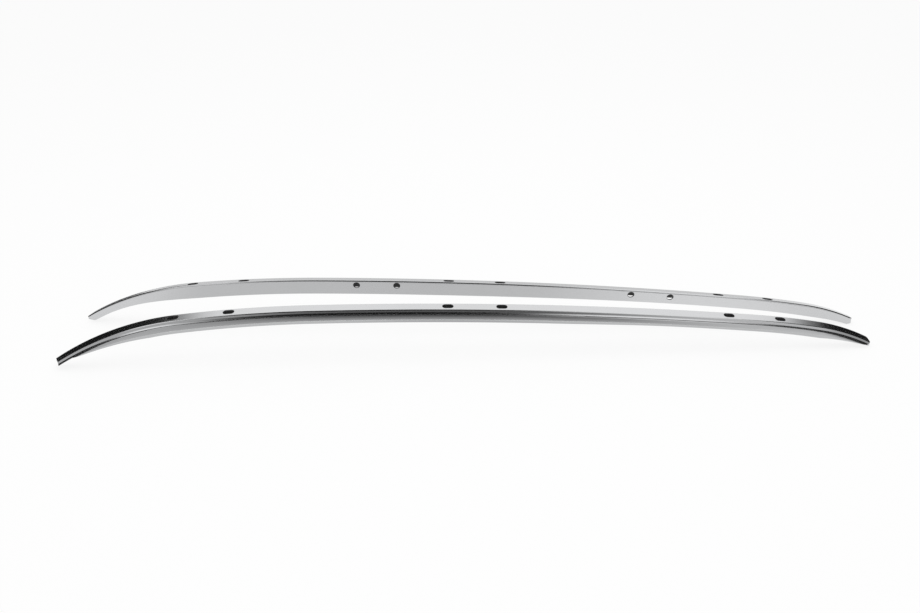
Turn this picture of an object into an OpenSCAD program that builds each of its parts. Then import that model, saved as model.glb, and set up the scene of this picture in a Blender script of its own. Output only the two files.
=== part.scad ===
// Pair of arched roof side rails, each one bent and milled aluminium channel.
// X runs along the vehicle with the front ends at -X, Z is up, and the rails stand on z = 0.
// The left rail is on the -Y side and the right rail, its mirror image, on the +Y side.

/* [Rail] */
// Length of a rail from tip to tip, in mm
rail_len = 1650; // [1500:5:1800]
// Width of the flat top face across its two edges
top_w = 23; // [18:0.5:30]
// Wall thickness of the inner and outer walls
wall_t = 2.4; // [1.6:0.1:4]
// Thickness of the top wall
top_t = 2.8; // [2:0.1:4]
// Lean of the side walls toward the middle of the pair, in degrees
wall_lean = 10; // [0:1:15]
// Fall of the top face toward the outer side, in degrees
top_fall = 10; // [0:1:15]

/* [Arch] */
// Distance of the crown in front of mid-length
crown_fwd = 320; // [200:10:420]
// Length of the gentle bend from the crown toward the front
front_bend_len = 262; // [200:5:300]
// Radius of that gentle front bend
front_bend_r = 2650; // [2000:50:4000]
// Radius of the nose bend down to the front tip
nose_r = 550; // [450:10:700]
// Length of the long flat bend from the crown toward the rear
back_bend_len = 905; // [850:5:950]
// Radius of that long flat bend
back_bend_r = 9400; // [7000:100:12000]
// Length of the shoulder bend behind it
shoulder_len = 130; // [100:5:160]
// Radius of the shoulder bend
shoulder_r = 1630; // [1200:10:2200]
// Radius of the tail bend down to the rear tip
tail_r = 410; // [350:10:600]

/* [Walls] */
// Depth of the inner wall below the top face in the front half
inner_drop_front = 34; // [28:0.5:40]
// Depth of the inner wall below the top face toward the rear
inner_drop_rear = 28; // [24:0.5:40]
// Depth of the inner wall next to a tip
inner_drop_tip = 19; // [15:0.5:24]
// Distance from the front tip at which the inner wall starts to deepen
inner_start_front = 45; // [20:5:80]
// Distance from the front tip at which it has its full depth
inner_full_front = 250; // [150:10:350]
// Distance from the rear tip at which the inner wall has its full depth
inner_full_rear = 110; // [80:5:200]
// Depth of the outer wall below the top face at mid-length
outer_drop = 27.5; // [20:0.5:30]
// How much shallower the outer wall is toward the rear
outer_rear_loss = 3; // [0:0.5:6]
// Length over which the outer wall is milled away behind the front tip
outer_ramp_front = 150; // [80:5:220]
// Length over which the outer wall is milled away before the rear tip
outer_ramp_rear = 100; // [60:5:160]
// Depth of the bevel along the outer edge
bevel_drop = 7.2; // [5:0.1:9]
// Reach of the bevel beyond the top face
bevel_out = 2.6; // [1:0.1:4]
// Depth of the crease groove under the bevel
crease_drop = 1.6; // [1:0.1:3]
// How far the crease groove steps back in under the bevel
crease_in = 0.9; // [0.4:0.1:1.5]
// Bulge of the outer face beyond the top face
bulge_out = 4.6; // [3:0.1:6]
// Radius of the rounded inner edge of the top face
edge_r = 3; // [1.5:0.5:4]
// Size of the eased outer edge of the top face
outer_edge = 1.2; // [0.5:0.1:2]

/* [Ends] */
// Backward rake of the front end, as length over width
nose_rake = 0.5; // [0:0.05:0.8]
// Size of the eased inner corner at the front end
nose_ease = 3.5; // [1:0.5:6]
// Radius of the rounded inner corner at the rear end
tail_corner_r = 10; // [4:0.5:12]
// Radius of the rounded outer corner at the rear end
tail_outer_r = 8; // [3:0.5:10]

/* [Slots and holes] */
// Slot length along the rail
slot_len = 22; // [18:0.5:26]
// Slot width across the top face
slot_w = 12; // [8:0.5:15]
// Distance between the two slots of a pair
slot_pitch = 108; // [90:1:130]
// Middle of the front slot pair from mid-length
slot_front_x = -534; // [-560:1:-500]
// Middle of the centre slot pair from mid-length
slot_mid_x = 4; // [-20:1:20]
// Middle of the rear slot pair from mid-length
slot_rear_x = 578; // [550:1:600]
// Diameter of the round holes in the inner wall
hole_d = 14; // [8:0.5:16]
// Distance between the two holes of a pair
hole_pitch = 84; // [70:1:100]
// Middle of the front hole pair from mid-length
hole_front_x = -201; // [-230:1:-170]
// Middle of the rear hole pair from mid-length
hole_rear_x = 377; // [350:1:400]
// Depth of the front holes' centres below the top face
hole_drop_front = 11; // [10.5:0.5:16]
// Depth of the rear holes' centres below the top face
hole_drop_rear = 11; // [10.5:0.5:16]

/* [Pair] */
// Distance between the inner edges of the two top faces at mid-length, measured at the tips' level
pair_gap = 128; // [100:2:300]
// Angle between each rail and the X axis, front ends apart
splay = 1.7; // [0:0.1:5]
// How much farther forward the left rail stands
stagger = 5; // [0:1:20]

/* [Hidden] */
$fn = 48;
half = rail_len / 2;
// The raked noses and the rounded tails put the pair's middle this far behind mid-length
centre_x = 1.1;
metal = [0.80, 0.81, 0.83];

// Stretches of the arch on each side of the crown, as level length and radius
front_arcs = [[front_bend_len, front_bend_r], [rail_len, nose_r]];
back_arcs = [[back_bend_len, back_bend_r], [shoulder_len, shoulder_r], [rail_len, tail_r]];

// Fall of a chain of tangent arcs over a level distance u, starting at the slope a
function fall(u, arcs, i = 0, a = 0) =
    let(step = min(u, arcs[i][0]), r = arcs[i][1], b = asin(min(0.95, sin(a) + step / r)))
    r * (cos(a) - cos(b)) + (u > step ? fall(u - step, arcs, i + 1, b) : 0);

// Downward slope of the same chain at the level distance u, in degrees
function slope(u, arcs, i = 0, a = 0) =
    let(step = min(u, arcs[i][0]), b = asin(min(0.95, sin(a) + step / arcs[i][1])))
    u > step ? slope(u - step, arcs, i + 1, b) : b;

// Height of the top face's inner edge along the rail, with the crown at zero
function top_at(x) = x < -crown_fwd ? -fall(-crown_fwd - x, front_arcs) : -fall(x + crown_fwd, back_arcs);

// Signed slope of the top face along the rail, rising toward +X when positive
function slope_at(x) = x < -crown_fwd ? slope(-crown_fwd - x, front_arcs) : -slope(x + crown_fwd, back_arcs);

// Share of the way from a to b, kept between 0 and 1
function share(v, a, b) = max(0, min(1, (v - a) / (b - a)));

// Smooth step from 0 to 1 as v runs from a to b
function ease(v, a, b) = let(q = share(v, a, b)) q * q * (3 - 2 * q);

// Depth at which the inner wall ends right at a tip, just under the rounded edge
tip_drop = edge_r + 1;
// Lengths over which the inner wall is cut off at the front and the rear tip
tip_front = 15;
tip_rear = 18;
// The rear cut starts this far beyond the tip, so a little wall is left there
tip_over = 7;
// The inner wall starts to deepen this far beyond the rear tip
deepen_over = 10;

// Depth of the inner wall, shallower to the rear, milled down toward both tips
function inner_drop(x) =
    let(ahead = x + half, behind = half - x,
        body = inner_drop_front + (inner_drop_rear - inner_drop_front) * ease(x, -0.15 * half, 0.65 * half),
        front = inner_drop_tip + (body - inner_drop_tip) * ease(ahead, inner_start_front, inner_full_front),
        both = inner_drop_tip + (front - inner_drop_tip) * ease(behind, -deepen_over, inner_full_rear))
    tip_drop + (both - tip_drop) * min(1, ahead / tip_front, (behind + tip_over) / tip_rear);

// Depth of the foot of the crease, and of the little that stays of the outer wall at a tip
foot = bevel_drop + crease_drop;
outer_tip_drop = foot + 0.6;
// Distances from the tips at which the outer wall starts, and the bends of its two ramps
outer_start_front = 42;
outer_start_rear = 12;
front_power = 0.62;
rear_power = 0.7;

// Depth of the outer wall, milled away to the foot of the crease at both tips
function outer_drop_at(x) =
    let(body = outer_drop - outer_rear_loss * ease(x, 0.2 * half, 0.5 * half),
        front = share(x + half, outer_start_front, outer_start_front + outer_ramp_front),
        rear = share(half - x, outer_start_rear, outer_start_rear + outer_ramp_rear))
    outer_tip_drop + (body - outer_tip_drop) * min(pow(front, front_power), pow(rear, rear_power));

// Outline of the convex outer face, as shares of its depth and of its bulge
bulge_shape = [[0.22, 0.35], [0.45, 0.85], [0.66, 1], [0.85, 0.8], [1, 0.35]];
// Depth of outer wall over which the bulge grows to its full size
bulge_grow = 6;
// Reach of the bevel's edge, measured from the top face's inner edge
reach = top_w + bevel_out;

// Outline of the channel as distance outward and depth below the top face's inner edge
function channel(x) =
    let(di = inner_drop(x), d = outer_drop_at(x),
        bulge = (bulge_out - bevel_out) * min(1, (d - foot) / bulge_grow),
        low = reach + bulge * bulge_shape[4][1])
    concat(
        [[0, di]],
        [for (a = [0 : 30 : 90]) [edge_r * (1 - cos(a)), edge_r * (1 - sin(a))]],
        [
            [top_w - outer_edge, 0],
            [top_w - outer_edge / 6, outer_edge / 3],
            [top_w + outer_edge / 2.4, outer_edge * 1.2],
            [reach, bevel_drop],
            [reach - crease_in, bevel_drop + crease_in],
            [reach - 0.5 * crease_in, foot]
        ],
        [for (b = bulge_shape) [reach + bulge * b[1], foot + (d - foot) * b[0]]],
        [
            [low - wall_t, d],
            [reach - crease_in - wall_t, min(foot, d) - 0.5 * crease_in],
            [top_w - wall_t, top_t + 1.2],
            [top_w - wall_t - 1.4, top_t],
            [wall_t + 1, top_t],
            [wall_t, max(top_t + 1, edge_r)],
            [wall_t, di]
        ]
    );

// Sections along the bar, closer together within the end share of its length
stations = 96;
end_share = 0.16;
end_crowd = 0.35;
function crowd(q) = q < end_share ? q * (1 - end_crowd * (1 - q / end_share)) : q;
function station(i) = let(q = i / stations) -half + rail_len * (q < 0.5 ? crowd(q) : 1 - crowd(1 - q));

// Height of the crown that puts the lowest corner of the inner wall on the floor
lowest = min([for (i = [0 : stations]) top_at(station(i)) - inner_drop(station(i))]);
// The inside of that wall dips lower by a little, because the top face falls outward
lift = wall_t * sin(top_fall) * (1 - inner_drop_tip / inner_drop_front) / cos(wall_lean);
function rise(x) = top_at(x) - lowest + lift;

// A point of the section in space, off mm outward and depth mm below the top face's inner edge
function place(x, off, depth) = [
    x,
    -off * cos(top_fall) + (rise(x) - depth) * sin(wall_lean),
    (rise(x) - depth) * cos(wall_lean) - off * sin(top_fall) * (1 - depth / inner_drop_front)
];

// Length of bar beyond the rear tip, so that the cutters make both end faces
spare = 2;
// Height range of the end cutters, and how far they reach past the bar
cut_base = -50;
cut_high = 150;
past = 5;

// The bent channel before its ends and openings are cut
module channel_bar() {
    xs = [for (i = [0 : stations]) station(i) + (i == stations ? spare : 0)];
    loops = [for (x = xs) [for (p = channel(x)) place(x, p[0], p[1])]];
    n = len(loops[0]);
    points = [for (l = loops) each l];
    sides = [for (i = [0 : stations - 1], j = [0 : n - 1])
        let(a = i * n + j, b = i * n + (j + 1) % n, c = a + n, e = b + n) each [[a, e, b], [a, c, e]]];
    front = [for (j = [0 : n - 1]) j];
    rear = [for (j = [0 : n - 1]) stations * n + n - 1 - j];
    polyhedron(points, concat(sides, [front, rear]));
}

// Cutter that rakes the front end back toward the outer side and eases its inner corner
module nose_cut() {
    y = rise(-half) * sin(wall_lean);
    wide = 60;
    translate([0, 0, cut_base])
        linear_extrude(height = cut_high)
            polygon([
                [-half - past, -wide],
                [-half + nose_rake * (y + wide), -wide],
                [-half + nose_rake * nose_ease, y - nose_ease],
                [-half + 1.4 * nose_ease, y + 0.5],
                [-half + 1.4 * nose_ease, y + past],
                [-half - past, y + past]
            ]);
}

// Cutter for the rear end face with its two rounded corners
module tail_cut() {
    inner_y = rise(half) * sin(wall_lean);
    outer_y = inner_y - reach * cos(top_fall);
    ri = tail_corner_r;
    ro = tail_outer_r;
    translate([0, 0, cut_base])
        linear_extrude(height = cut_high)
            polygon(concat(
                [[half - ri, inner_y + past]],
                [for (a = [90 : -18 : 0]) [half - ri + ri * cos(a), inner_y - ri + ri * sin(a)]],
                [for (a = [0 : -18 : -90]) [half - ro + ro * cos(a), outer_y + ro + ro * sin(a)]],
                [[half - ro, outer_y - past], [half + past, outer_y - past], [half + past, inner_y + past]]
            ));
}

// A slot through the top face, square to it and centred at x
module slot_cut(x) {
    run = slot_len - slot_w;
    above = 4;
    translate(place(x, top_w / 2, 0))
        rotate([top_fall, 0, 0])
            rotate([0, -slope_at(x), 0])
                translate([0, 0, -top_t - above]) {
                    translate([-run / 2, -slot_w / 2, 0]) cube([run, slot_w, top_t + 2 * above]);
                    translate([-run / 2, 0, 0]) cylinder(d = slot_w, h = top_t + 2 * above);
                    translate([run / 2, 0, 0]) cylinder(d = slot_w, h = top_t + 2 * above);
                }
}

// A round hole through the inner wall, centred at x
module hole_cut(x, drop) {
    beyond = 3;
    translate(place(x, wall_t / 2, drop))
        rotate([-90 - wall_lean, 0, 0])
            cylinder(d = hole_d, h = wall_t + 2 * beyond, center = true);
}

// One rail with its inner edge at y = 0, its outer side toward -Y
module rail() {
    difference() {
        channel_bar();
        nose_cut();
        tail_cut();
        for (m = [slot_front_x, slot_mid_x, slot_rear_x], s = [-0.5, 0.5]) slot_cut(m + s * slot_pitch);
        for (s = [-0.5, 0.5]) hole_cut(hole_front_x + s * hole_pitch, hole_drop_front);
        for (s = [-0.5, 0.5]) hole_cut(hole_rear_x + s * hole_pitch, hole_drop_rear);
    }
}

module rail_left() {
    color(metal)
        translate([-centre_x - stagger / 2, -pair_gap / 2, 0])
            rotate([0, 0, splay])
                rail();
}

module rail_right() {
    color(metal)
        translate([-centre_x + stagger / 2, pair_gap / 2, 0])
            rotate([0, 0, -splay])
                mirror([0, 1, 0])
                    rail();
}

rail_left();
rail_right();
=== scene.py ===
from math import cos, pi, radians, sin

import bpy
import numpy as np
from mathutils import Matrix


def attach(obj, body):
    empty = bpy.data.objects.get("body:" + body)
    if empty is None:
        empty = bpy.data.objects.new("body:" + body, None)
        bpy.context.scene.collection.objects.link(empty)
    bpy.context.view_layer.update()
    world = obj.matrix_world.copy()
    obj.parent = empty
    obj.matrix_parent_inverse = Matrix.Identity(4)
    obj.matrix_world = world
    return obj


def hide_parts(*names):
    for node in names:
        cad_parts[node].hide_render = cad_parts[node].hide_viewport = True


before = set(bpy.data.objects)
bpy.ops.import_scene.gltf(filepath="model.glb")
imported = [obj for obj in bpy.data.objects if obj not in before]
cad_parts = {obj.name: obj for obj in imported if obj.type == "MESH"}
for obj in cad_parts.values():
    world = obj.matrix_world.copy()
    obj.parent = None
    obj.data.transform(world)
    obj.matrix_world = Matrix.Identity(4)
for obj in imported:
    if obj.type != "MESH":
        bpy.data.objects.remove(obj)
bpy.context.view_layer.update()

bl_info = {
    "name": "Roof side rail pair",
    "version": (1, 0, 0),
    "blender": (4, 5, 0),
    "location": "3D View > Sidebar > Rails",
    "description": "Makes a pair of arched aluminium roof side rails and the studio they stand in",
    "category": "Object",
}

MM = 0.001
# Height range of the cutters that finish the ends of a rail
END_CUT = [(-50 * MM, 0), (100 * MM, 0)]
# Height of the cards that lie on the floor
CARD_UP = 2 * MM


def length(name, value, about):
    """A length property, given in millimetres."""
    return bpy.props.FloatProperty(
        name=name, description=about, default=value * MM, unit="LENGTH", precision=4)


def angle(name, value, about):
    """An angle property, given in degrees."""
    return bpy.props.FloatProperty(name=name, description=about, default=radians(value), subtype="ANGLE")


def factor(name, value, about, top=1.0):
    """A plain number between 0 and top."""
    return bpy.props.FloatProperty(name=name, description=about, default=value, min=0.0, max=top)


def colour(name, value, about):
    """A colour property."""
    return bpy.props.FloatVectorProperty(name=name, description=about, default=value, size=3, subtype="COLOR")


class RailSizes(bpy.types.PropertyGroup):
    """Sizes of a rail. All but the edge radius, the lip and the brow are those of the solid part"""

    rail_len: length("Rail length", 1650, "Length of a rail from tip to tip")
    top_w: length("Top width", 23, "Width of the flat top face across its two edges")
    wall_t: length("Wall", 2.4, "Thickness of the side walls")
    top_t: length("Top thickness", 2.8, "Thickness of the top wall")
    wall_lean: angle("Wall lean", 10, "Lean of the side walls toward the middle of the pair")
    top_fall: angle("Top fall", 10, "Fall of the top face toward the outer side")
    crown_fwd: length("Crown forward", 320, "Distance of the crown in front of mid-length")
    front_bend_len: length("Front bend length", 262, "Length of the gentle bend toward the front")
    front_bend_r: length("Front bend radius", 2650, "Radius of the gentle front bend")
    nose_r: length("Nose radius", 550, "Radius of the bend down to the front tip")
    back_bend_len: length("Back bend length", 905, "Length of the long flat bend toward the rear")
    back_bend_r: length("Back bend radius", 9400, "Radius of the long flat bend")
    shoulder_len: length("Shoulder length", 130, "Length of the shoulder bend")
    shoulder_r: length("Shoulder radius", 1630, "Radius of the shoulder bend")
    tail_r: length("Tail radius", 410, "Radius of the bend down to the rear tip")
    inner_drop_front: length("Inner depth front", 34, "Depth of the inner wall in the front half")
    inner_drop_rear: length("Inner depth rear", 28, "Depth of the inner wall toward the rear")
    inner_drop_tip: length("Inner depth tip", 19, "Depth of the inner wall next to a tip")
    inner_start_front: length(
        "Deepening starts", 45, "Where the inner wall starts to deepen behind the front tip")
    inner_full_front: length(
        "Full depth front", 250, "Where the inner wall is at full depth behind the front tip")
    inner_full_rear: length(
        "Full depth rear", 110, "Where the inner wall is at full depth before the rear tip")
    outer_drop: length("Outer depth", 27.5, "Depth of the outer wall at mid-length")
    outer_rear_loss: length("Outer loss", 3, "How much shallower the outer wall is toward the rear")
    outer_ramp_front: length(
        "Outer ramp front", 150, "Length over which the outer wall is milled away in front")
    outer_ramp_rear: length(
        "Outer ramp rear", 100, "Length over which the outer wall is milled away at the rear")
    bevel_drop: length("Bevel depth", 7.2, "Depth of the bevel along the outer edge")
    bevel_out: length("Bevel reach", 2.6, "Reach of the bevel beyond the top face")
    crease_drop: length("Crease depth", 1.6, "Depth of the crease groove under the bevel")
    crease_in: length("Crease step", 0.9, "How far the crease groove steps back in under the bevel")
    lip_out: length("Lip", 1.5, "How far the foot of the bevel flares out over the crease")
    bulge_out: length("Bulge reach", 4.6, "Bulge of the outer face beyond the top face")
    brow_in: length("Brow", 0.3, "How far the outer face is rounded off right under the crease")
    edge_r: length(
        "Edge radius", 4.6, "Radius of the rounded inner edge, a little fuller than the solid part's")
    outer_edge: length("Outer edge", 1.2, "Size of the eased outer edge of the top face")
    nose_rake: factor("Nose rake", 0.5, "Backward rake of the front end, as length over width")
    nose_ease: length("Nose corner", 3.5, "Size of the eased inner corner at the front end")
    tail_corner_r: length("Tail corner", 10, "Radius of the rounded inner corner at the rear end")
    tail_outer_r: length("Tail outer corner", 8, "Radius of the rounded outer corner at the rear end")
    slot_len: length("Slot length", 22, "Slot length along the rail")
    slot_w: length("Slot width", 12, "Slot width across the top face")
    slot_pitch: length("Slot pitch", 108, "Distance between the two slots of a pair")
    slot_front_x: length("Front slots", -534, "Middle of the front slot pair from mid-length")
    slot_mid_x: length("Centre slots", 4, "Middle of the centre slot pair from mid-length")
    slot_rear_x: length("Rear slots", 578, "Middle of the rear slot pair from mid-length")
    hole_d: length("Hole diameter", 14, "Diameter of the round holes in the inner wall")
    hole_pitch: length("Hole pitch", 84, "Distance between the two holes of a pair")
    hole_front_x: length("Front holes", -201, "Middle of the front hole pair from mid-length")
    hole_rear_x: length("Rear holes", 377, "Middle of the rear hole pair from mid-length")
    hole_drop: length("Hole depth", 11, "Depth of the holes' centres below the top face")
    pair_gap: length("Pair gap", 128, "Distance between the inner edges of the two rails at mid-length")
    splay: angle("Splay", 1.7, "Angle between each rail and the X axis")
    stagger: length("Stagger", 5, "How much farther forward the left rail stands")
    centre_x: length("Centre", 1.1, "How far the pair's middle lies behind mid-length")
    eased: length("Eased rim", 0.35, "Size of the eased rims of slots, holes and wall ends")
    # Painted shade: the crease takes the dark colour down to these depths, standing in for the shade in the
    # groove
    painted_crease_shade: length("Dull crease", 0.7, "How far below the crease the dull line reaches")
    painted_crease_shade_tip: length("Dull crease at tips", 1.7, "How much farther it reaches at the tips")


class RailFinish(bpy.types.PropertyGroup):
    """Colours and finish of the rails"""

    metal: colour("Metal", (0.68, 0.685, 0.695), "Colour of the bright anodised aluminium")
    # Painted shade: a dark colour for the inside of the channel, the crease and the walls of the slots and
    # holes, standing in for the shade there
    inside: colour("Inside", (0.03, 0.03, 0.031), "Colour of the dull inside of the channel")
    roughness: factor("Roughness", 0.16, "Roughness of the semi-mirror skin")
    grain: factor("Grain", 0.05, "How much the drawn grain changes the roughness")


class StudioSettings(bpy.types.PropertyGroup):
    """Light, floor and camera"""

    lens: bpy.props.FloatProperty(name="Lens", description="Focal length of the camera in mm", default=35.22)
    camera_place: bpy.props.FloatVectorProperty(
        name="Camera place", description="Where the camera stands", size=3,
        default=(-0.0960, -1.6479, 0.9230))
    camera_turn: angle("Camera turn", 2.39, "Turn of the camera from +Y toward +X")
    camera_dip: angle("Camera dip", 27.24, "How far the camera looks down")
    camera_roll: angle("Camera roll", 0.48, "Roll of the camera")
    floor_size: length("Floor", 14000, "Half the width of the floor")
    floor_glow: factor("Floor glow", 0.86, "Share of the floor that glows to the camera and in reflections")
    light: factor("World light", 0.78, "Strength of the world as a light on dull surfaces", 2.0)
    lamp: factor("Lamp", 20.0, "Power of the soft lamp overhead", 500.0)
    dome_r: length("Flag distance", 5000, "Distance of the dark flags that the metal reflects")
    veil_w: length("Veil", 1400, "Half the width of the grey veil on the floor")
    veil_shade: factor("Veil shade", 0.27, "Darkness of the grey veil on the floor")


def fall(u, arcs):
    """Fall of a chain of tangent arcs over a level distance u: each arc of radius r lowers the
    line by r times the change in the cosine of its slope."""
    total = np.zeros_like(u)
    left = u.copy()
    start = 0.0
    for level, r in arcs:
        step = np.clip(left, 0.0, level)
        turn = np.arcsin(np.minimum(0.95, start + step / r))
        total += np.where(left > 0, r * (cos(np.arcsin(start)) - np.cos(turn)), 0.0)
        start = min(0.95, start + level / r)
        left = left - level
    return total


def top_at(s, x):
    """Height of the top face's inner edge along the rail, with the crown at zero."""
    front = ((s.front_bend_len, s.front_bend_r), (s.rail_len, s.nose_r))
    back = ((s.back_bend_len, s.back_bend_r), (s.shoulder_len, s.shoulder_r), (s.rail_len, s.tail_r))
    ahead = fall(np.maximum(-s.crown_fwd - x, 0.0), front)
    behind = fall(np.maximum(x + s.crown_fwd, 0.0), back)
    return -ahead - behind


def share(v, a, b):
    """Share of the way from a to b, kept between 0 and 1."""
    return np.clip((v - a) / (b - a), 0.0, 1.0)


def ease(v, a, b):
    """Smooth step from 0 to 1 as v runs from a to b."""
    q = share(v, a, b)
    return q * q * (3 - 2 * q)


def inner_drop(s, x):
    """Depth of the inner wall: shallower to the rear, and milled down toward both tips."""
    half = s.rail_len / 2
    tip_drop = s.edge_r + 1 * MM
    rearward = ease(x, -0.15 * half, 0.65 * half)
    body = s.inner_drop_front + (s.inner_drop_rear - s.inner_drop_front) * rearward
    deeper = ease(x + half, s.inner_start_front, s.inner_full_front)
    front = s.inner_drop_tip + (body - s.inner_drop_tip) * deeper
    past_tip = 10 * MM
    both = s.inner_drop_tip + (front - s.inner_drop_tip) * ease(half - x, -past_tip, s.inner_full_rear)
    # The wall is chamfered off over a short length at each tip, not quite to nothing at the rear
    front_cut, rear_cut, rear_left = 15 * MM, 18 * MM, 7 * MM
    cut = np.minimum((x + half) / front_cut, (half - x + rear_left) / rear_cut)
    return tip_drop + (both - tip_drop) * np.minimum(1.0, cut)


def outer_drop(s, x):
    """Depth of the outer wall, milled away to the foot of the crease at both tips."""
    half = s.rail_len / 2
    rim = 0.6 * MM
    least = s.bevel_drop + s.crease_drop + rim
    body = s.outer_drop - s.outer_rear_loss * ease(x, 0.2 * half, 0.5 * half)
    # Where each ramp starts behind its tip, and the power that rounds it
    front_foot, front_power = 42 * MM, 0.62
    rear_foot, rear_power = 12 * MM, 0.7
    front = share(x + half, front_foot, front_foot + s.outer_ramp_front) ** front_power
    rear = share(half - x, rear_foot, rear_foot + s.outer_ramp_rear) ** rear_power
    return least + (body - least) * np.minimum(front, rear)


def rise(s, x):
    """Height of the top face's inner edge over the floor, with the lowest of the solid part's
    sections on the floor. These sections crowd together over a share of the length at each end."""
    sections, end, crowd = 97, 0.16, 0.35
    q = np.linspace(0, 1, sections)
    near = np.minimum(q, 1 - q)
    step = np.where(near < end, near * (1 - crowd * (1 - near / end)), near)
    line = s.rail_len * (np.where(q < 0.5, step, 1 - step) - 0.5)
    lowest = np.min(top_at(s, line) - inner_drop(s, line))
    lift = s.wall_t * sin(s.top_fall) * (1 - s.inner_drop_tip / s.inner_drop_front) / cos(s.wall_lean)
    return top_at(s, x) - lowest + lift


def place(s, x, off, depth):
    """A point of the section in space, off outward and depth below the top face's inner edge."""
    z = rise(s, x) - depth
    tilt = 1 - depth / s.inner_drop_front
    return np.stack(np.broadcast_arrays(
        x,
        -off * cos(s.top_fall) + z * sin(s.wall_lean),
        z * cos(s.wall_lean) - off * sin(s.top_fall) * tilt,
    ), axis=-1)


def bezier(a, b, c, count):
    """Points on the curve that leaves a toward b and arrives at c from b, ends included."""
    t = np.linspace(0, 1, count)[:, None]
    a, b, c = (np.array(p, float) for p in (a, b, c))
    return (1 - t) ** 2 * a + 2 * t * (1 - t) * b + t ** 2 * c


def outline(s, x):
    """Outline of the channel at every station x, as two arrays of distance outward and depth.
    It runs up the inner wall, round the edge, over the top, down the bevel and its lip, the crease
    and the bulge, and back along the inside. Also gives the columns from the crease down the bulge,
    and those inside."""
    n = len(x)
    di = inner_drop(s, x)
    d = outer_drop(s, x)
    foot = s.bevel_drop + s.crease_drop
    reach = s.top_w + s.bevel_out
    grow = np.minimum(1.0, (d - foot) / (6 * MM))
    bulge = (s.bulge_out - s.bevel_out) * grow
    # Size of the eased rims, and length of the narrow faces that keep an edge's shading to itself
    e = s.eased
    near = 0.25 * MM
    columns = []

    def fixed(points):
        columns.extend([(np.full(n, p[0]), np.full(n, p[1])) for p in points])

    # Lower rim and face of the inner wall
    columns.append((np.full(n, e), di))
    columns.append((np.full(n, 0.3 * e), di - 0.3 * e))
    columns.append((np.full(n, 0.0), di - e))
    for t in (0.02, 0.35, 0.7):
        columns.append((np.full(n, 0.0), di - e + (s.edge_r + near - di + e) * t))
    fixed([(0, s.edge_r + near)])
    # Quarter circle on the inner edge
    turn = np.linspace(0, pi / 2, 10)
    fixed(np.stack([s.edge_r * (1 - np.cos(turn)), s.edge_r * (1 - np.sin(turn))], axis=1))
    # Top face
    flat = (s.edge_r + near, 0.5 * s.top_w, s.top_w - s.outer_edge - near)
    fixed([(v, 0) for v in flat])
    # Eased outer edge, then the bevel down to its own eased corner
    start = (s.top_w - s.outer_edge, 0)
    knee = (s.top_w + s.outer_edge / 2.4, s.outer_edge * 1.2)
    corner = (reach + s.lip_out, s.bevel_drop)
    under = (reach - s.crease_in, s.bevel_drop + s.crease_in)
    fixed(bezier(start, (s.top_w, 0), knee, 7))
    slope = np.array((reach, s.bevel_drop)) - np.array(knee)
    fixed([knee + slope * t for t in (0.06, 0.4)])
    # The foot of the bevel flares out into a lip, which then turns under
    lip_from, lip_end, lip_power = 0.58, 0.97, 1.5
    for t in np.linspace(lip_from, lip_end, 7):
        flare = s.lip_out * ((t - lip_from) / (1 - lip_from)) ** lip_power
        lip = knee + slope * t + np.array((flare, 0))
        fixed([lip])
    back = np.array(under) - np.array(corner)
    fixed(bezier(lip, corner, np.array(corner) + back * 0.3, 4)[1:])
    crease = len(columns) - 1
    fixed([under])
    # Two parabolas that meet at the fullest line of the convex face, the upper one rounded off at
    # its top. full and brow are shares of the way down.
    full, brow = 0.66, 0.13
    upper, lower = 3.0, 5.6
    t = np.concatenate([
        np.linspace(0, brow, 6), np.linspace(brow, full, 10)[1:], np.linspace(full, 1, 8)[1:]])
    low = 1 - lower * (1 - full) ** 2
    for v in t:
        bend = 1 - (upper if v < full else lower) * (v - full) ** 2
        set_in = s.brow_in * grow * max(0.0, 1 - v / brow) ** 2
        columns.append((reach + bulge * bend - set_in, foot + (d - foot - e) * v))
    outer_face = range(crease, len(columns))
    # Lower rim of the outer wall
    edge = reach + bulge * low
    columns.append((edge - 0.3 * e, d - 0.3 * e))
    columns.append((edge - e, d))
    columns.append((edge - s.wall_t + e, d))
    columns.append((edge - s.wall_t, d - e))
    # Inside of the channel
    first_inside = len(columns) - 1
    columns.append((np.full(n, reach - s.crease_in - s.wall_t), np.minimum(foot, d) - 0.5 * s.crease_in))
    fixed([(s.top_w - s.wall_t, s.top_t + 1.2 * MM), (s.top_w - s.wall_t - 1.4 * MM, s.top_t)])
    fixed([(s.wall_t + 1 * MM, s.top_t), (s.wall_t, s.top_t + 1 * MM)])
    columns.append((np.full(n, s.wall_t), di - e))
    last_inside = len(columns) - 1
    columns.append((np.full(n, s.wall_t - e), di))
    off, depth = (np.stack([c[k] for c in columns], axis=1) for k in (0, 1))
    return off, depth, outer_face, range(first_inside, last_inside)


def stations(s, count):
    """Stations along the rail, closer together at the tips, one just past the rear tip."""
    crowd, spare = 1.15, 2 * MM
    q = np.linspace(-1, 1, count)
    x = s.rail_len / 2 * np.sign(q) * (1 - (1 - np.abs(q)) ** crowd)
    x[-1] += spare
    return x


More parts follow.
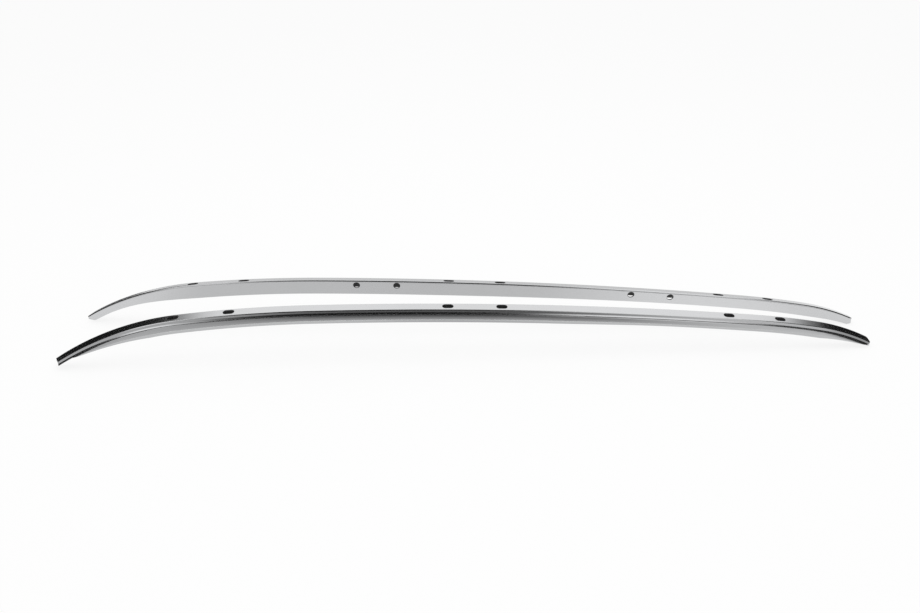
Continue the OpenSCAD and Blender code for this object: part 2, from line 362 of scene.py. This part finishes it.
def bar(s):
    """The bent channel: the outline placed at every station, closed by a face at each end. Gives its
    points, its faces and, for each face, whether it takes the painted shade: inside the channel or in the
    crease."""
    x = stations(s, 420)
    off, depth, outer_face, inside = outline(s, x)
    points = place(s, x[:, None], off, depth)
    m, n = off.shape
    i, j = np.meshgrid(np.arange(m - 1), np.arange(n), indexing="ij")
    a = (i * n + j).ravel()
    b = (i * n + (j + 1) % n).ravel()
    sides = np.stack([a, b, b + n, a + n], axis=1)
    ends = [list(range(n))[::-1], list(range((m - 1) * n, m * n))]
    # Painted shade in the crease: the dark colour reaches a little way down the wide face, and farther down
    # toward the tips
    half = s.rail_len / 2
    toward_tip = ease(np.abs(x), 0.8 * half, half)
    below = s.bevel_drop + s.crease_drop + s.painted_crease_shade + s.painted_crease_shade_tip * toward_tip
    middle = (depth + np.roll(depth, -1, axis=1)) / 2
    dull = (middle < below[:, None]) & np.isin(np.arange(n), outer_face) | np.isin(np.arange(n), inside)
    return points.reshape(-1, 3), sides.tolist() + ends, dull[:-1].ravel().tolist() + [False, False]


def prism(loop, rings):
    """A closed prism: the flat loop of (x, y) points, carried through the rings (z, growth),
    where growth moves each point outward along its own direction from the loop's middle line."""
    n = len(loop)
    normal = np.roll(loop, -1, axis=0) - np.roll(loop, 1, axis=0)
    normal = np.stack([normal[:, 1], -normal[:, 0]], axis=1)
    normal /= np.linalg.norm(normal, axis=1)[:, None]
    layers = [np.column_stack([loop + normal * g, np.full(n, z)]) for z, g in rings]
    faces = [list(range(n))[::-1], list(range((len(rings) - 1) * n, len(rings) * n))]
    for k in range(len(rings) - 1):
        j = np.arange(n)
        q = (j + 1) % n
        faces += np.stack([k * n + j, k * n + q, (k + 1) * n + q, (k + 1) * n + j], axis=1).tolist()
    return np.concatenate(layers), faces


def turned(points, axis, turn):
    """Points turned about the X or the Y axis by an angle."""
    c, q = cos(turn), sin(turn)
    if axis == "X":
        m = np.array([[1, 0, 0], [0, c, -q], [0, q, c]])
    else:
        m = np.array([[c, 0, q], [0, 1, 0], [-q, 0, c]])
    return points @ m.T


def slot_cutter(s, x):
    """Prism with two straight sides and two half circles, square to the top face at x and wider
    at the rim."""
    r = s.slot_w / 2
    run = (s.slot_len - s.slot_w) / 2
    t = np.linspace(-pi / 2, pi / 2, 25)
    right = np.column_stack([run + r * np.cos(t), r * np.sin(t)])
    loop = np.concatenate([right, -right])
    e = s.eased
    rings = [(-s.top_t - 4 * MM, 0), (-e, 0), (3 * e, 4 * e)]
    points, faces = prism(loop, rings)
    step = 1 * MM
    grade = (top_at(s, np.array([x + step])) - top_at(s, np.array([x - step])))[0] / (2 * step)
    points = turned(turned(points, "Y", -np.arctan(grade)), "X", s.top_fall)
    return points + place(s, np.array([x]), s.top_w / 2, 0.0)[0], faces


def hole_cutter(s, x):
    """Cylinder square to the inner wall at x, wider at its outer rim."""
    t = np.linspace(0, 2 * pi, 48, endpoint=False)
    loop = np.column_stack([np.cos(t), np.sin(t)]) * s.hole_d / 2
    e = s.eased
    h = s.wall_t / 2
    rings = [(-h - 3 * MM, 0), (h - e, 0), (h + 3 * e, 4 * e)]
    points, faces = prism(loop, rings)
    points = turned(points, "X", -pi / 2 - s.wall_lean)
    return points + place(s, np.array([x]), s.wall_t / 2, s.hole_drop)[0], faces


def nose_cutter(s):
    """Prism that rakes the front end back toward the outer side and eases its inner corner."""
    half = s.rail_len / 2
    y = rise(s, np.array([-half]))[0] * sin(s.wall_lean)
    wide = 60 * MM
    past = 5 * MM
    raked = [(-half - past, -wide), (-half + s.nose_rake * (y + wide), -wide)]
    corner = bezier(
        (-half + s.nose_rake * 1.2 * s.nose_ease, y - 1.2 * s.nose_ease),
        (-half + 0.1 * s.nose_ease, y - 0.2 * s.nose_ease),
        (-half + 1.4 * s.nose_ease, y + 0.5 * MM), 7)
    beyond = [(-half + 1.4 * s.nose_ease, y + past), (-half - past, y + past)]
    loop = np.array(raked + [tuple(p) for p in corner] + beyond)
    return prism(loop, END_CUT)


def tail_cutter(s):
    """Prism that makes the rear end face with its two rounded corners."""
    half = s.rail_len / 2
    inner = rise(s, np.array([half]))[0] * sin(s.wall_lean)
    outer = inner - (s.top_w + s.bevel_out) * cos(s.top_fall)
    past = 5 * MM
    ri, ro = s.tail_corner_r, s.tail_outer_r
    t = np.linspace(pi / 2, 0, 16)
    first = np.column_stack([half - ri + ri * np.cos(t), inner - ri + ri * np.sin(t)])
    t = np.linspace(0, -pi / 2, 16)
    second = np.column_stack([half - ro + ro * np.cos(t), outer + ro + ro * np.sin(t)])
    loop = np.concatenate([
        [(half - ri, inner + past)], first, second,
        [(half - ro, outer - past), (half + past, outer - past), (half + past, inner + past)],
    ])
    return prism(loop, END_CUT)


def settle(s, points, faces, right):
    """Moves a rail from its own frame to its place in the pair. The right rail is mirrored by
    changing the sign of y, so its faces are turned round to keep pointing outward."""
    p = points.copy()
    turn = s.splay
    shift = np.array([-s.centre_x - s.stagger / 2, -s.pair_gap / 2, 0])
    if right:
        p[:, 1] *= -1
        faces = [f[::-1] for f in faces]
        turn = -turn
        shift = np.array([-s.centre_x + s.stagger / 2, s.pair_gap / 2, 0])
    c, q = cos(turn), sin(turn)
    p = p @ np.array([[c, -q, 0], [q, c, 0], [0, 0, 1]]).T + shift
    return p, faces


def mesh_object(name, points, faces):
    """A new object with this mesh, at the origin."""
    mesh = bpy.data.meshes.new(name)
    mesh.from_pydata(points.tolist(), [], faces)
    mesh.validate()
    obj = bpy.data.objects.new(name, mesh)
    bpy.context.collection.objects.link(obj)
    return obj


def joined(parts):
    """One list of points and faces from several."""
    points, faces, base = [], [], 0
    for p, f in parts:
        points.append(p)
        faces += [[v + base for v in q] for q in f]
        base += len(p)
    return np.concatenate(points), faces


def cut(obj, cutter):
    """Subtracts the cutter from obj, keeps the result as obj's mesh and deletes the cutter."""
    boolean = obj.modifiers.new("openings", "BOOLEAN")
    boolean.object = cutter
    boolean.operation = "DIFFERENCE"
    boolean.solver = "EXACT"
    graph = bpy.context.evaluated_depsgraph_get()
    result = bpy.data.meshes.new_from_object(obj.evaluated_get(graph))
    obj.modifiers.clear()
    obj.data = result
    bpy.data.objects.remove(cutter)


def rail_surface(s, node, right, outer, inner):
    """The whole skin of one rail with its slots, holes and finished ends, in the metal and in the painted
    shade of its inside, crease and openings.
    """
    points, faces, dull = bar(s)
    skin = mesh_object(node + "_surface", *settle(s, points, faces, right))
    slots = (s.slot_front_x, s.slot_mid_x, s.slot_rear_x)
    holes = (s.hole_front_x, s.hole_rear_x)
    openings = [slot_cutter(s, m + side * s.slot_pitch / 2) for m in slots for side in (-1, 1)]
    openings += [hole_cutter(s, m + side * s.hole_pitch / 2) for m in holes for side in (-1, 1)]
    ends = [nose_cutter(s), tail_cutter(s)]
    cutter = mesh_object("openings", *settle(s, *joined(openings + ends), right))
    # The walls of the slots and holes take the painted shade
    cut_painted_shade = [True] * sum(len(f) for p, f in openings) + [False] * sum(len(f) for p, f in ends)
    # Flagged faces take the second material, inner, which is the painted shade
    for obj, flags in ((skin, dull), (cutter, cut_painted_shade)):
        obj.data.materials.append(outer)
        obj.data.materials.append(inner)
        obj.data.polygons.foreach_set("material_index", np.array(flags, dtype=np.int32))
    cut(skin, cutter)
    skin.data.shade_smooth()
    skin.data.set_sharp_from_angle(angle=radians(24))
    return skin


def node_at(tree, kind, place_x, place_y, **settings):
    """Adds a shader node and sets its plain settings."""
    node = tree.nodes.new(kind)
    node.location = (place_x, place_y)
    for key, value in settings.items():
        setattr(node, key, value)
    return node


def aluminium(f):
    """Bright anodised aluminium: a semi-mirror with a fine grain drawn along the rail."""
    mat = bpy.data.materials.new("bright_aluminium")
    mat.use_nodes = True
    tree = mat.node_tree
    link = tree.links.new
    skin = tree.nodes["Principled BSDF"]
    skin.inputs["Metallic"].default_value = 1.0
    coords = node_at(tree, "ShaderNodeTexCoord", -1100, 0)
    # Drawn grain: noise stretched along the rail
    stretch = node_at(tree, "ShaderNodeMapping", -900, -200)
    stretch.inputs["Scale"].default_value = (6, 900, 900)
    grain = node_at(tree, "ShaderNodeTexNoise", -700, -200)
    grain.inputs["Scale"].default_value = 1.0
    grain.inputs["Detail"].default_value = 2.0
    rough = node_at(tree, "ShaderNodeMapRange", -480, -150)
    rough.inputs["To Min"].default_value = f.roughness - f.grain
    rough.inputs["To Max"].default_value = f.roughness + f.grain
    # Faint cloudy change of the coating
    cloud = node_at(tree, "ShaderNodeTexNoise", -700, 200)
    cloud.inputs["Scale"].default_value = 9.0
    cloud.inputs["Detail"].default_value = 3.0
    tone = node_at(tree, "ShaderNodeMix", -300, 200, data_type="RGBA")
    tone.inputs["A"].default_value = (*[0.97 * v for v in f.metal], 1)
    tone.inputs["B"].default_value = (*[1.03 * v for v in f.metal], 1)
    bump = node_at(tree, "ShaderNodeBump", -250, -300)
    bump.inputs["Strength"].default_value = 0.06
    bump.inputs["Distance"].default_value = 0.0001
    link(coords.outputs["Object"], stretch.inputs["Vector"])
    link(stretch.outputs["Vector"], grain.inputs["Vector"])
    link(grain.outputs["Fac"], rough.inputs["Value"])
    link(rough.outputs["Result"], skin.inputs["Roughness"])
    link(coords.outputs["Object"], cloud.inputs["Vector"])
    link(cloud.outputs["Fac"], tone.inputs["Factor"])
    link(tone.outputs["Result"], skin.inputs["Base Color"])
    link(grain.outputs["Fac"], bump.inputs["Height"])
    link(bump.outputs["Normal"], skin.inputs["Normal"])
    return mat


def painted_shade_inside(f):
    """Painted shade for the inside of the channel, the crease and the walls of the slots and holes: a dark
    matt colour that stands in for the shade there, with a faint cloudy change.
    """
    mat = bpy.data.materials.new("painted_shade_inside")
    mat.use_nodes = True
    tree = mat.node_tree
    link = tree.links.new
    skin = tree.nodes["Principled BSDF"]
    skin.inputs["Roughness"].default_value = 0.6
    coords = node_at(tree, "ShaderNodeTexCoord", -900, 0)
    cloud = node_at(tree, "ShaderNodeTexNoise", -700, 0)
    cloud.inputs["Scale"].default_value = 40.0
    tone = node_at(tree, "ShaderNodeMix", -300, 0, data_type="RGBA")
    tone.inputs["A"].default_value = (*[0.7 * v for v in f.inside], 1)
    tone.inputs["B"].default_value = (*[1.3 * v for v in f.inside], 1)
    link(coords.outputs["Object"], cloud.inputs["Vector"])
    link(cloud.outputs["Fac"], tone.inputs["Factor"])
    link(tone.outputs["Result"], skin.inputs["Base Color"])
    return mat


class RAILS_OT_make_pair(bpy.types.Operator):
    """Makes the two rails and gives them their finish"""

    bl_idname = "rails.make_pair"
    bl_label = "Make both rails"
    bl_options = {"REGISTER", "UNDO"}

    def execute(self, context):
        sizes = context.scene.rail_sizes
        metal = aluminium(context.scene.rail_finish)
        # The dark matt material is painted shade for the inside, the crease and the openings
        dull = painted_shade_inside(context.scene.rail_finish)
        for node, right in (("rail_left", False), ("rail_right", True)):
            skin = rail_surface(sizes, node, right, metal, dull)
            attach(skin, "root")
            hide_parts(node)
        return {"FINISHED"}


def floor_material(glow_share):
    """A white floor that shows the rails' soft shadow. To the camera and in reflections a share of
    it glows."""
    mat = bpy.data.materials.new("studio_floor")
    mat.use_nodes = True
    tree = mat.node_tree
    tree.nodes.clear()
    link = tree.links.new
    paths = node_at(tree, "ShaderNodeLightPath", -800, 200)
    seen = node_at(tree, "ShaderNodeMath", -600, 200, operation="MAXIMUM")
    also = node_at(tree, "ShaderNodeMath", -420, 200, operation="MAXIMUM")
    part = node_at(tree, "ShaderNodeMath", -240, 200, operation="MULTIPLY")
    part.inputs[1].default_value = glow_share
    dull = node_at(tree, "ShaderNodeBsdfDiffuse", -240, 0)
    dull.inputs["Color"].default_value = (0.93, 0.93, 0.93, 1)
    glow = node_at(tree, "ShaderNodeEmission", -240, -150)
    glow.inputs["Strength"].default_value = 1.0
    mix = node_at(tree, "ShaderNodeMixShader", 0, 0)
    out = node_at(tree, "ShaderNodeOutputMaterial", 200, 0)
    link(paths.outputs["Is Camera Ray"], seen.inputs[0])
    link(paths.outputs["Is Glossy Ray"], seen.inputs[1])
    link(seen.outputs[0], also.inputs[0])
    link(paths.outputs["Is Transmission Ray"], also.inputs[1])
    link(also.outputs[0], part.inputs[0])
    link(part.outputs[0], mix.inputs[0])
    link(dull.outputs[0], mix.inputs[1])
    link(glow.outputs[0], mix.inputs[2])
    link(mix.outputs[0], out.inputs["Surface"])
    return mat


def white_world(strength):
    """White for the camera and in reflections, and a plain light on everything dull."""
    world = bpy.data.worlds.new("studio_air")
    world.use_nodes = True
    tree = world.node_tree
    tree.nodes.clear()
    link = tree.links.new
    paths = node_at(tree, "ShaderNodeLightPath", -800, 0)
    seen = node_at(tree, "ShaderNodeMath", -600, 0, operation="MAXIMUM")
    also = node_at(tree, "ShaderNodeMath", -420, 0, operation="MAXIMUM")
    level = node_at(tree, "ShaderNodeMapRange", -240, 0)
    level.inputs["To Min"].default_value = strength
    level.inputs["To Max"].default_value = 1.0
    air = node_at(tree, "ShaderNodeBackground", 0, 0)
    air.inputs["Color"].default_value = (1, 1, 1, 1)
    out = node_at(tree, "ShaderNodeOutputWorld", 200, 0)
    link(paths.outputs["Is Camera Ray"], seen.inputs[0])
    link(paths.outputs["Is Glossy Ray"], seen.inputs[1])
    link(seen.outputs[0], also.inputs[0])
    link(paths.outputs["Is Transmission Ray"], also.inputs[1])
    link(also.outputs[0], level.inputs["Value"])
    link(level.outputs["Result"], air.inputs["Strength"])
    link(air.outputs[0], out.inputs["Surface"])
    return world


def flag_dome(r):
    """Dark studio flags round the rails, seen only in their reflections. A dome of the given radius
    carries a shade value: 1 where a flag hangs and 0 between the flags. Each soft edge runs between
    two values of x, y or z, the direction from the rails, or between two angles in degrees."""
    lowest, step, rows = -4, 2.0, 63
    turn = np.radians(np.arange(0, 361, step))
    up = np.radians(np.linspace(lowest, 90, rows))
    t, e = np.meshgrid(turn, up, indexing="ij")
    x = np.cos(e) * np.sin(t)
    y = np.cos(e) * np.cos(t)
    z = np.sin(e)
    points = np.stack([x, y, z], axis=-1) * r
    # Two tall flags at the back, left and right, which blacken the ends of the top faces
    behind = ease(y, 0.36, 0.46)
    back_left = ease(-x, 0.38, 0.50) * behind
    back_right = ease(x, 0.56, 0.68) * behind
    # Two at the sides, which do not reach the front, and a grey one farther right
    beside = ease(y, -0.55, -0.3)
    far_left = ease(-x, 0.62, 0.74) * beside
    right = ease(x, 0.50, 0.60) * (1 - ease(y, 0.42, 0.50)) * beside
    grey = 0.62
    front_right = grey * ease(x, 0.60, 0.72)
    # A lid over the front, which draws the dark line along the rounded edges
    lid = ease(x, -0.50, -0.30) * (1 - ease(x, 0.19, 0.34)) * (1 - ease(y, 0.38, 0.50)) * ease(z, 0.5, 0.66)
    # A wide grey flag in front, lighter to the right, and darkest in its middle and higher up
    facing = 176
    aside = np.abs((np.degrees(t) + 360) % 360 - facing)
    high = np.degrees(e)
    side_shade, side_rise, side_loss = 0.42, 0.08, 0.14
    side = side_shade + side_rise * ease(high, 6, 30) - side_loss * ease(x, 0.25, 0.45)
    side = side * (1 - ease(high, 37, 43))
    core_shade, core_rise = 0.62, 0.29
    core = core_shade + core_rise * ease(high, 6, 35)
    front = (side + (core - side) * (1 - ease(aside, 10, 32))) * (1 - ease(aside, 60, 80))
    # A faint one low at the back
    faint = 0.3
    back = faint * ease(y, 0.7, 0.9) * (1 - ease(z, 0.1, 0.4))
    shade = np.maximum.reduce([back_left, far_left, back_right, right, front_right, lid, front, back])
    return shaded_card(grid_object("studio_flags", points, np.clip(shade, 0, 1)))


def floor_veil(st):
    """A thin grey veil on the floor under the rails and in front, seen only in the metal. It dims what
    the wide outer face and the inner wall of the far rail mirror, less toward the rear."""
    back_y, front_y = 0.10, -1.2
    x = np.linspace(-1, 1, 57) * st.veil_w
    y = np.linspace(back_y, front_y, 66)
    gx, gy = np.meshgrid(x, y, indexing="ij")
    # Between the rails it is faint, and darker along the front half
    behind = ease(gy, -0.10, -0.06)
    faint, rear_loss, middle_gain = 0.1, 0.08, 0.12
    along = ease(gx, -0.75, -0.58) * (1 - ease(gx, 0.0, 0.5))
    lighter = rear_loss * ease(gx, 0.2, 0.5) * (1 - ease(gx, 0.6, 0.75))
    between = behind * (faint + (st.veil_shade - faint) * along - lighter)
    # In front of them it is darkest in the middle
    middle = middle_gain * (1 - ease(np.abs(gx), 0.05, 0.3))
    before = (1 - behind) * (st.veil_shade + middle)
    sides = 1 - ease(np.abs(gx), 0.8 * st.veil_w, st.veil_w)
    shade = (between + before) * sides * ease(gy, front_y, -0.8)
    points = np.stack([gx, gy, np.full_like(gx, CARD_UP)], axis=-1)
    return shaded_card(grid_object("studio_veil", points, shade))


def tip_veil():
    """A dark patch on the floor behind the far rail's front tip, seen only in that tip's top face."""
    middle_x, middle_y = -0.88, 0.38
    reach_x, reach_y = 0.22, 0.4
    darkness = 0.9
    gx, gy = np.meshgrid(np.linspace(-1.3, -0.6, 29), np.linspace(0.9, 0.12, 31), indexing="ij")
    away = np.hypot((gx - middle_x) / reach_x, (gy - middle_y) / reach_y)
    points = np.stack([gx, gy, np.full_like(gx, CARD_UP)], axis=-1)
    return shaded_card(grid_object("studio_tip_veil", points, darkness * (1 - ease(away, 0.45, 1))))


def grid_object(name, points, shade):
    """A mesh over a grid of points, with the shade of each point as an attribute."""
    m, n = shade.shape
    i, j = np.meshgrid(np.arange(m - 1), np.arange(n - 1), indexing="ij")
    a = (i * n + j).ravel()
    faces = np.stack([a, a + n, a + n + 1, a + 1], axis=1).tolist()
    obj = mesh_object(name, points.reshape(-1, 3), faces)
    obj.data.attributes.new("shade", "FLOAT", "POINT").data.foreach_set("value", shade.ravel())
    return obj


def shaded_card(card):
    """Gives a card dark cloth where its shade is 1 and nothing where it is 0, for reflections only."""
    mat = bpy.data.materials.new("studio_flag_cloth")
    mat.use_nodes = True
    tree = mat.node_tree
    tree.nodes.clear()
    link = tree.links.new
    read = node_at(tree, "ShaderNodeAttribute", -400, 100, attribute_name="shade")
    clear = node_at(tree, "ShaderNodeBsdfTransparent", -200, 0)
    dark = node_at(tree, "ShaderNodeEmission", -200, -120)
    dark.inputs["Color"].default_value = (0.012, 0.012, 0.012, 1)
    mix = node_at(tree, "ShaderNodeMixShader", 0, 0)
    out = node_at(tree, "ShaderNodeOutputMaterial", 200, 0)
    link(read.outputs["Fac"], mix.inputs[0])
    link(clear.outputs[0], mix.inputs[1])
    link(dark.outputs[0], mix.inputs[2])
    link(mix.outputs[0], out.inputs["Surface"])
    card.data.materials.append(mat)
    card.visible_camera = False
    card.visible_diffuse = False
    card.visible_shadow = False
    card.visible_transmission = False
    return card


def studio_camera(st):
    """The camera: looks along a level turn from +Y toward +X, dipped and rolled."""
    data = bpy.data.cameras.new("studio_camera")
    data.lens = st.lens
    data.sensor_width = 36
    data.sensor_fit = "HORIZONTAL"
    data.clip_end = 100
    cam = bpy.data.objects.new("studio_camera", data)
    bpy.context.collection.objects.link(cam)
    level = cos(st.camera_dip)
    look = np.array([level * sin(st.camera_turn), level * cos(st.camera_turn), -sin(st.camera_dip)])
    side = np.cross(look, (0, 0, 1))
    side /= np.linalg.norm(side)
    up = np.cross(side, look)
    c, q = cos(st.camera_roll), sin(st.camera_roll)
    m = np.eye(4)
    m[:3, 0] = side * c + up * q
    m[:3, 1] = up * c - side * q
    m[:3, 2] = -look
    m[:3, 3] = st.camera_place
    cam.matrix_world = Matrix(m.tolist())
    bpy.context.scene.camera = cam


class RAILS_OT_make_stage(bpy.types.Operator):
    """Makes the floor, the light, the dark flags and the camera"""

    bl_idname = "rails.make_stage"
    bl_label = "Make the studio"
    bl_options = {"REGISTER", "UNDO"}

    def execute(self, context):
        st = context.scene.rail_studio
        context.scene.view_settings.view_transform = "Standard"
        context.scene.world = white_world(st.light)
        w = st.floor_size
        corners = np.array([[-w, -w, 0], [w, -w, 0], [w, w, 0], [-w, w, 0]])
        floor = mesh_object("studio_floor", corners, [[0, 1, 2, 3]])
        floor.data.materials.append(floor_material(st.floor_glow))
        dome = flag_dome(st.dome_r)
        veil = floor_veil(st)
        tip_veil()
        soft = bpy.data.lights.new("soft_lamp", "AREA")
        soft.shape = "DISK"
        soft.size = 2.5
        soft.energy = st.lamp
        lamp = bpy.data.objects.new("soft_lamp", soft)
        context.collection.objects.link(lamp)
        lamp.location = (0, 0, 2.6)
        lamp.visible_glossy = False
        studio_camera(st)
        return {"FINISHED"}


class RAILS_PT_panel(bpy.types.Panel):
    """Sidebar panel with the sizes, the finish and the two makers"""

    bl_idname = "RAILS_PT_panel"
    bl_label = "Roof side rails"
    bl_space_type = "VIEW_3D"
    bl_region_type = "UI"
    bl_category = "Rails"

    def draw(self, context):
        layout = self.layout
        for group in (context.scene.rail_sizes, context.scene.rail_finish, context.scene.rail_studio):
            column = layout.column()
            for name in group.__annotations__:
                column.prop(group, name)
        layout.operator("rails.make_pair")
        layout.operator("rails.make_stage")


CLASSES = (RailSizes, RailFinish, StudioSettings, RAILS_OT_make_pair, RAILS_OT_make_stage, RAILS_PT_panel)


def register():
    for cls in CLASSES:
        bpy.utils.register_class(cls)
    bpy.types.Scene.rail_sizes = bpy.props.PointerProperty(type=RailSizes)
    bpy.types.Scene.rail_finish = bpy.props.PointerProperty(type=RailFinish)
    bpy.types.Scene.rail_studio = bpy.props.PointerProperty(type=StudioSettings)


def unregister():
    del bpy.types.Scene.rail_studio
    del bpy.types.Scene.rail_finish
    del bpy.types.Scene.rail_sizes
    for cls in reversed(CLASSES):
        bpy.utils.unregister_class(cls)


def main():
    register()
    bpy.ops.rails.make_pair()
    bpy.ops.rails.make_stage()


if __name__ == "__main__":
    main()
